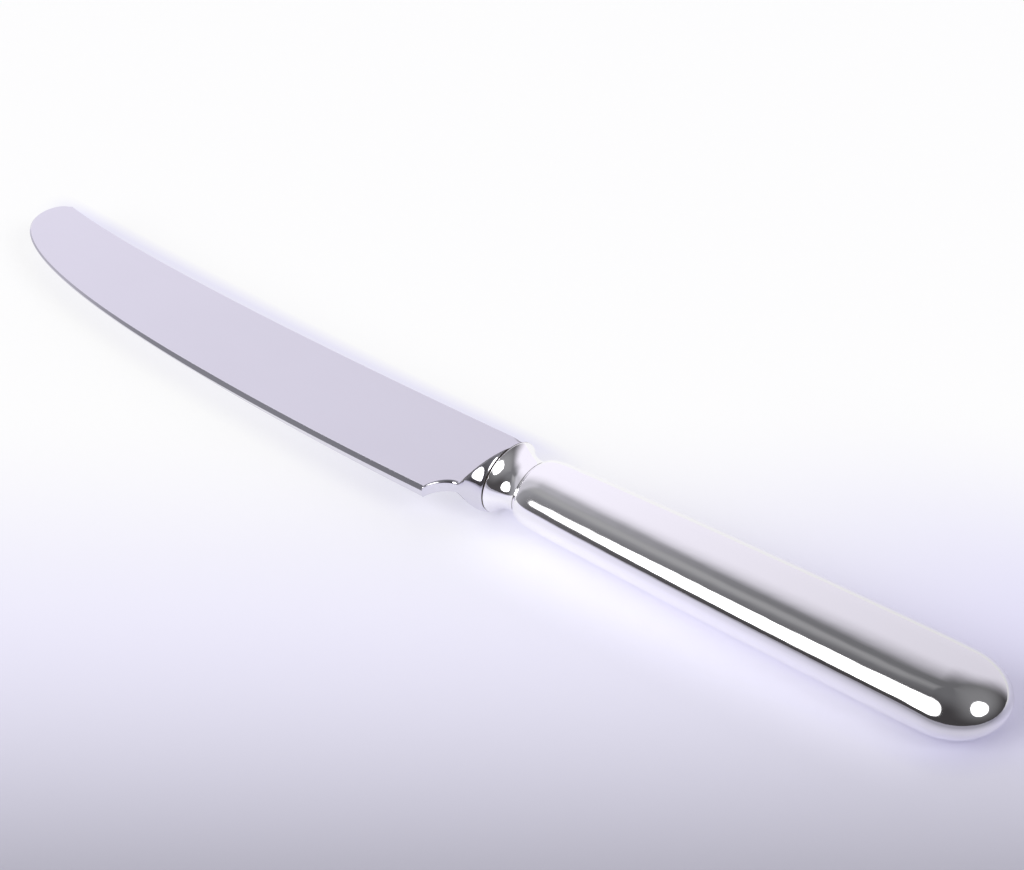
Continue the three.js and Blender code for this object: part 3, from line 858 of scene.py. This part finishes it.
def handle_front(handle, bolster, inset):
    """X, half-width and half-thickness from the front to the widest oval, set in from the outside.

    A plain band, then two cubic curves for width and thickness: the shoulder's round, steep in front,
    and the taper, with one slope where they meet.
    """
    foot = handle.start + handle.mouth_length
    start = np.array([foot + inset, bolster.waist_half_width, bolster.waist_half_thickness])
    top = np.array([foot + handle.shoulder_run, handle.shoulder_half_width, handle.shoulder_half_thickness])
    bulge = np.array([handle.bulge_position, handle.bulge_half_width, handle.bulge_half_thickness])
    slope = np.array([handle.taper_pull, handle.taper_rise, handle.taper_thickening]) / handle.taper_pull
    lift = blend(start, top, handle.shoulder_lift) * np.array([0, 1, 1]) + start * np.array([1, 0, 0])
    crown = top - slope * handle.shoulder_pull
    shoulder = bezier((start, lift, crown, top), np.linspace(0, 1, SHOULDER_STEPS + 1)[:-1])
    level = bulge - np.array([handle.bulge_pull, 0, 0])
    taper = bezier((top, top + slope * handle.taper_pull, level, bulge), np.linspace(0, 1, TAPER_STEPS + 1))
    mouth = [[handle.start, bolster.waist_half_width, bolster.waist_half_thickness]]
    return np.concatenate([mouth, shoulder, taper]) - np.array([0, inset, inset])


def edge_power(handle, x):
    """Power of the sine in a section's height: 1 for an oval, more where the butt's edge is sharper."""
    return 1 + handle.butt_edge * smooth_step((x - handle.bulge_position) / handle.butt_edge_run + 0.5)


def handle_butt(handle, inset, end_angle):
    """X, half-width and half-thickness of the butt up to an angle from its widest oval, round in plan."""
    turn = np.linspace(0, end_angle, BUTT_STEPS + 1)[1:]
    x = handle.bulge_position + (handle.end - handle.bulge_position - inset) * np.sin(turn)
    thickness = (handle.bulge_half_thickness - inset) * np.cos(turn) ** edge_power(handle, x)
    return np.stack([x, (handle.bulge_half_width - inset) * np.cos(turn), thickness], axis=-1)


def seam_angle(handle, inset):
    """Angle of the butt at which its section is as thin as the seam."""
    share_left = handle.seam_half_gap / (handle.bulge_half_thickness - inset)
    return math.acos(share_left ** (1 / (1 + handle.butt_edge)))


def handle_line(handle, bolster, inset):
    """X, half-width and half-thickness of one skin of a shell, from the front to where it meets the seam."""
    butt = handle_butt(handle, inset, seam_angle(handle, inset))
    return np.concatenate([handle_front(handle, bolster, inset), butt])


def seam_start(handle, line):
    """Angle of each section at which it meets the seam."""
    return np.arcsin(np.clip(handle.seam_half_gap / line[:, 2], 0, 1) ** (1 / edge_power(handle, line[:, 0])))


def shell_arc(handle, line):
    """Arcs of the sections above the seam: angles run from seam to seam, closest together near both."""
    low = seam_start(handle, line)[:, None]
    angles = low + (math.pi - 2 * low) * (1 - np.cos(np.linspace(0, math.pi, ARC_STEPS + 1))) / 2
    rings = oval_rings(*line.T, angles)
    rings[..., 2] *= np.sin(angles) ** (edge_power(handle, line[:, :1]) - 1)
    return rings


class KNIFE_OT_handle(KnifeStep, bpy.types.Operator):
    """Upper and lower half of the hollow silver handle"""

    bl_idname = "knife.handle"
    bl_label = "Handle halves"

    def build(self, scene):
        handle, bolster = scene.knife_handle, scene.knife_bolster
        outer = shell_arc(handle, handle_line(handle, bolster, 0))
        inner = shell_arc(handle, handle_line(handle, bolster, handle.wall))
        front = np.concatenate([outer[:1], outer[:1, ::-1]], axis=1)
        rings = np.concatenate([front, np.concatenate([outer, inner[:, ::-1]], axis=1)])
        points, faces, _ = skin(rings, "folded")
        silver = shared_silver(scene.knife_finishes)
        new_piece("knife_handle_upper", points, faces, silver, "handle_half_upper")
        lower = points * np.array([1, 1, -1])
        new_piece("knife_handle_lower", lower, faces[:, ::-1], silver, "handle_half_lower")


class KNIFE_OT_seam(KnifeStep, bpy.types.Operator):
    """Solder in the seam, along both sides of the handle and round the butt"""

    bl_idname = "knife.seam"
    bl_label = "Seam solder"

    def build(self, scene):
        handle, bolster = scene.knife_handle, scene.knife_bolster
        gap = handle.seam_half_gap

        def side(inset):
            line = handle_line(handle, bolster, inset)
            return np.stack([line[:, 0], line[:, 1] * np.cos(seam_start(handle, line))], axis=-1)

        butt = handle_butt(handle, 0, math.pi / 2)
        middle = np.concatenate([handle_front(handle, bolster, 0), butt])[:, :2]
        outer, inner = side(0), side(handle.wall)
        corners = ((outer, -gap), (middle, 0), (outer, gap), (inner, gap), (inner, -gap))
        half = np.stack([np.insert(line, 2, height, axis=1) for line, height in corners], axis=1)
        far = half[-2::-1] * np.array([1, -1, 1])
        points, faces, _ = skin(np.concatenate([half, far]), "fanned")
        solder = shared_solder(scene.knife_finishes)
        new_piece("knife_seam_solder", points, faces, solder, "seam_solder")


class KNIFE_OT_filling(KnifeStep, bpy.types.Operator):
    """Finish of the cement inside the handle"""

    bl_idname = "knife.filling"
    bl_label = "Cement filling"

    def build(self, scene):
        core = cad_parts["cement_core"]
        core.data.materials.clear()
        core.data.materials.append(handle_cement(scene.knife_finishes))


# Stage

TABLE_HALF = 4.0  # half the side of the table
TABLE_DROP = 0.02 * MM  # how far the table lies below the knife
TABLE_ROUGHNESS = 0.6
# painted shade: the table's lavender tint and its darkening towards the camera
TINT_DEPTHS, FALL_DEPTHS = (-0.05, 0.02), (-0.16, -0.03)  # where the table's tint and its light change
WHITE_DEPTHS, OWN_WHITE = (-0.07, 0.03), (0.25, 0.75)  # where its own white changes, and from what to what
GLOW_START, GLOW_REACH = 7 * MM, 22 * MM  # from the handle's axis, start and end of its light on the table
SHADE_REACH, SHADE_END = 35 * MM, 75 * MM  # behind the handle, where its shadow starts to end and has ended
SHADE_DISTANCE, SHADE_SAMPLES = 6 * MM, 2  # how near the knife tints the table, and rays to find it
BAND_START, BAND_END = 7.9 * MM, 10.8 * MM  # from the blade's back to where its shade is deep and has ended
BAND_NARROWING = 1.3 * MM  # how much closer to the back that shade is at the tip
BAND_SHIFT = 5.5 * MM  # how far that shade is shifted towards the tip
SWEEP_POWER = 2.1  # how the back sweeps up towards the tip
CLIP_START, CLIP_END = 0.01, 100
ROOM = (0.072, 0.068, 0.072)
IMAGE_WIDTH, IMAGE_HEIGHT = 1024, 870
FOCAL_PIXELS = 3000.0  # focal length in pixels of that image
JOINT_PIXEL = (508.77, 477.03)  # where the joint's middle lies in the picture
SENSOR = 36.0


def add_camera(stage):
    """Camera on its sphere about the joint, slid sideways so that the joint lands on its pixel."""
    lift, turn = stage.elevation, stage.azimuth
    back = Vector((math.sin(turn) * math.cos(lift), -math.cos(turn) * math.cos(lift), math.sin(lift)))
    right = Vector((math.cos(turn), math.sin(turn), 0))
    up = back.cross(right)
    across = (JOINT_PIXEL[0] - IMAGE_WIDTH / 2) / FOCAL_PIXELS
    above = (IMAGE_HEIGHT / 2 - JOINT_PIXEL[1]) / FOCAL_PIXELS
    data = bpy.data.cameras.new("camera")
    data.sensor_width = SENSOR
    data.lens = FOCAL_PIXELS * SENSOR / IMAGE_WIDTH
    data.clip_start, data.clip_end = CLIP_START, CLIP_END
    camera = bpy.data.objects.new("camera", data)
    camera.matrix_world = Matrix((right, up, back)).transposed().to_4x4()
    camera.location = JOINT + stage.distance * (back - across * right - above * up)
    bpy.context.scene.collection.objects.link(camera)
    bpy.context.scene.camera = camera


def blade_shade(graph, x, y):
    """Shade on the table behind the blade: a band that runs along the back's sweep and ends at the tip.

    The sweep is a power of the way from the bolster to the tip.
    """
    blade = bpy.context.scene.knife_blade
    way = graph.ramp(x, ferrule_low.x - BAND_SHIFT, blade_low.x - BAND_SHIFT, smooth=False)
    rise = blade.tip_height - blade.back_height - BAND_NARROWING
    past = graph.math("SUBTRACT", y, graph.product(graph.math("POWER", way, SWEEP_POWER), rise))
    back = JOINT.y + blade.back_height
    return graph.product(
        graph.ramp(past, back + BAND_START, back + BAND_END, 1.0, 0.0, smooth=False),
        graph.ramp(past, back, back + BAND_START),
        graph.ramp(x, ring_high.x, ferrule_low.x - 2 * BAND_SHIFT),
        graph.ramp(x, blade_low.x - 2 * BAND_SHIFT, blade_low.x),
    )


def add_table(stage):
    """Large pale table under the knife, white behind it and darker towards the camera: a painted falloff of
    light with a painted lavender shade.

    The picture and the metals see part of its white as its own, so that its shadows stay faint. Close to
    the handle's near side it is brighter by the light that the polished silver throws down, and behind
    handle and blade it has the tint of their shade.
    """
    mesh = bpy.data.meshes.new("table")
    corners = [(-1, -1), (1, -1), (1, 1), (-1, 1)]
    mesh.from_pydata([(x * TABLE_HALF, y * TABLE_HALF, -TABLE_DROP) for x, y in corners], [], [(0, 1, 2, 3)])
    material, graph, shader, place = new_material("table")
    axis = (-math.sin(stage.azimuth), math.cos(stage.azimuth), 0.0)
    depth = graph.add("ShaderNodeVectorMath", {0: place, 1: axis}, operation="DOT_PRODUCT").outputs["Value"]
    x, y, _ = graph.parts(place)
    beside = graph.product(
        graph.ramp(y, JOINT.y - GLOW_REACH, JOINT.y - GLOW_START),
        graph.ramp(y, JOINT.y, JOINT.y - GLOW_START),
        graph.ramp(x, ferrule_low.x - GLOW_START, ring_high.x + GLOW_START),
        graph.ramp(x, shell_high.x + GLOW_START, shell_high.x - GLOW_REACH),
    )
    behind = graph.product(
        graph.ramp(x, ring_high.x, shell_high.x),
        graph.ramp(y, JOINT.y - GLOW_START, JOINT.y + GLOW_START),
        graph.ramp(y, JOINT.y + SHADE_END, JOINT.y + SHADE_REACH),
    )
    # painted falloff of light towards the camera, and the painted lavender shade
    fall = graph.ramp(depth, *FALL_DEPTHS, 1 - stage.table_fall, 1.0)
    fall = graph.math("MAXIMUM", fall, stage.table_least)
    fall = graph.product(fall, graph.math("ADD", graph.product(beside, stage.table_glow), 1.0))
    sky = graph.add("ShaderNodeAmbientOcclusion", {"Distance": SHADE_DISTANCE}, samples=SHADE_SAMPLES)
    shaded = graph.math("SUBTRACT", 1.0, graph.math("MAXIMUM", sky.outputs["AO"], beside))
    for other in (graph.product(behind, stage.table_cast), blade_shade(graph, x, y)):
        shaded = graph.math("MAXIMUM", shaded, other)
    shade = graph.mix(shaded, rgba(WHITE), rgba(stage.table_shadow))
    tint = graph.mix(graph.ramp(depth, *TINT_DEPTHS), rgba(stage.table_near), rgba(stage.table_far))
    tint = graph.add("ShaderNodeVectorMath", {0: tint, 1: shade}, operation="MULTIPLY").outputs[0]
    tint = graph.scaled(tint, fall)
    graph.feed(shader, {"Base Color": tint, "Roughness": TABLE_ROUGHNESS, "Specular IOR Level": 0.0})
    rays = graph.add("ShaderNodeLightPath").outputs
    seen = graph.math("ADD", rays["Is Camera Ray"], rays["Is Glossy Ray"])
    shown = graph.math("SUBTRACT", 1.0, graph.product(behind, stage.table_shade))
    own = graph.product(seen, graph.ramp(depth, *WHITE_DEPTHS, *OWN_WHITE), shown)
    white = graph.add("ShaderNodeEmission", {"Color": tint})
    mixed = graph.add("ShaderNodeMixShader", {0: own, 1: shader.outputs[0], 2: white.outputs[0]})
    graph.feed(graph.tree.nodes["Material Output"], {"Surface": mixed.outputs[0]})
    mesh.materials.append(material)
    table = bpy.data.objects.new("table", mesh)
    bpy.context.scene.collection.objects.link(table)


def panel_weight(graph, direction, azimuth, elevation, half_turn, half_rise, squareness, softness):
    """How much of a panel a direction sees: a superellipse in azimuth and elevation with a soft edge."""
    inputs = {"Vector": direction, "Angle": -math.radians(azimuth)}
    x, y, z = graph.parts(graph.add("ShaderNodeVectorRotate", inputs, rotation_type="Z_AXIS").outputs[0])
    turn = graph.math("ARCTAN2", y, x)
    rise = graph.math("SUBTRACT", graph.math("ARCSINE", z), math.radians(elevation))

    def away(angle_value, half):
        distance = graph.math("DIVIDE", graph.math("ABSOLUTE", angle_value), math.radians(half))
        return graph.math("POWER", distance, squareness)

    reach = graph.math("ADD", away(turn, half_turn), away(rise, half_rise))
    reach = graph.math("POWER", reach, 1 / squareness)
    return graph.ramp(reach, 1 - softness, 1 + softness, 1.0, 0.0)


def add_studio(stage):
    """Soft studio round the knife: a white wall behind it, a grey ceiling, a dim room and two soft lamps."""
    world = bpy.data.worlds.new("studio")
    world.use_nodes = True
    graph = Graph(world.node_tree)
    direction = graph.add("ShaderNodeTexCoord").outputs["Generated"]
    lamp = (stage.lamp_strength,) * 3
    panels = (
        # azimuth, elevation, half turn, half rise, squareness, softness, colour
        (180, 20, 50, 60, 4, 0.35, (0.3, 0.3, 0.32)),
        (0, 90, 360, 32, 4, 0.6, (0.19, 0.19, 0.2)),
        (12, 50, 50, 34, 2, 0.7, (0.3, 0.3, 0.31)),
        (168, 25, 36, 35, 4, 0.2, (0.58, 0.57, 0.62)),
        (-153, 60, 11, 13, 2, 0.8, (0.38, 0.38, 0.39)),
        (117, 5, 52, 60, 4, 0.3, (0.98, 0.95, 1.05)),
        (-3, 39, 20, 16, 2, 0.12, lamp),
        (-106, 33.5, 23, 20.5, 2.5, 0.1, lamp),
    )
    seen = rgba(ROOM)
    for *shape, tone in panels:
        seen = graph.mix(panel_weight(graph, direction, *shape), seen, rgba(tone))
    path = graph.add("ShaderNodeLightPath").outputs["Is Camera Ray"]
    seen = graph.mix(path, seen, rgba(WHITE))
    light = graph.add("ShaderNodeBackground", {"Color": seen, "Strength": 1.0})
    graph.add("ShaderNodeOutputWorld", {"Surface": light.outputs[0]})
    bpy.context.scene.world = world


class KNIFE_OT_stage(KnifeStep, bpy.types.Operator):
    """Table, studio light and camera"""

    bl_idname = "knife.stage"
    bl_label = "Stage"

    def build(self, scene):
        stage = scene.knife_stage
        add_camera(stage)
        add_table(stage)
        add_studio(stage)
        scene.view_settings.view_transform = "Standard"


# Add-on

SETTINGS = {
    "knife_blade": BladeSizes,
    "knife_bolster": BolsterSizes,
    "knife_handle": HandleSizes,
    "knife_tang": TangSizes,
    "knife_finishes": Finishes,
    "knife_stage": StageSettings,
}
OPERATORS = (
    KNIFE_OT_blade, KNIFE_OT_ferrule, KNIFE_OT_handle, KNIFE_OT_seam, KNIFE_OT_filling, KNIFE_OT_stage,
)


class KNIFE_PT_sidebar(bpy.types.Panel):
    """Sizes, finishes and pieces of the knife"""

    bl_label = "Dessert Knife"
    bl_space_type = "VIEW_3D"
    bl_region_type = "UI"
    bl_category = "Knife"

    def draw(self, context):
        for operator in OPERATORS:
            self.layout.operator(operator.bl_idname)
        for key, group in SETTINGS.items():
            box = self.layout.box()
            box.label(text=group.__doc__)
            for name in group.__annotations__:
                box.prop(getattr(context.scene, key), name, text=name.replace("_", " ").capitalize())


CLASSES = (*SETTINGS.values(), *OPERATORS, KNIFE_PT_sidebar)


def register():
    for item in CLASSES:
        bpy.utils.register_class(item)
    for key, group in SETTINGS.items():
        setattr(bpy.types.Scene, key, PointerProperty(type=group))


def unregister():
    for key in SETTINGS:
        delattr(bpy.types.Scene, key)
    for item in reversed(CLASSES):
        bpy.utils.unregister_class(item)


def main():
    """Builds every piece and the stage."""
    register()
    bpy.ops.knife.stage()
    bpy.ops.knife.blade()
    bpy.ops.knife.ferrule()
    bpy.ops.knife.handle()
    bpy.ops.knife.seam()
    bpy.ops.knife.filling()


if __name__ == "__main__":
    main()
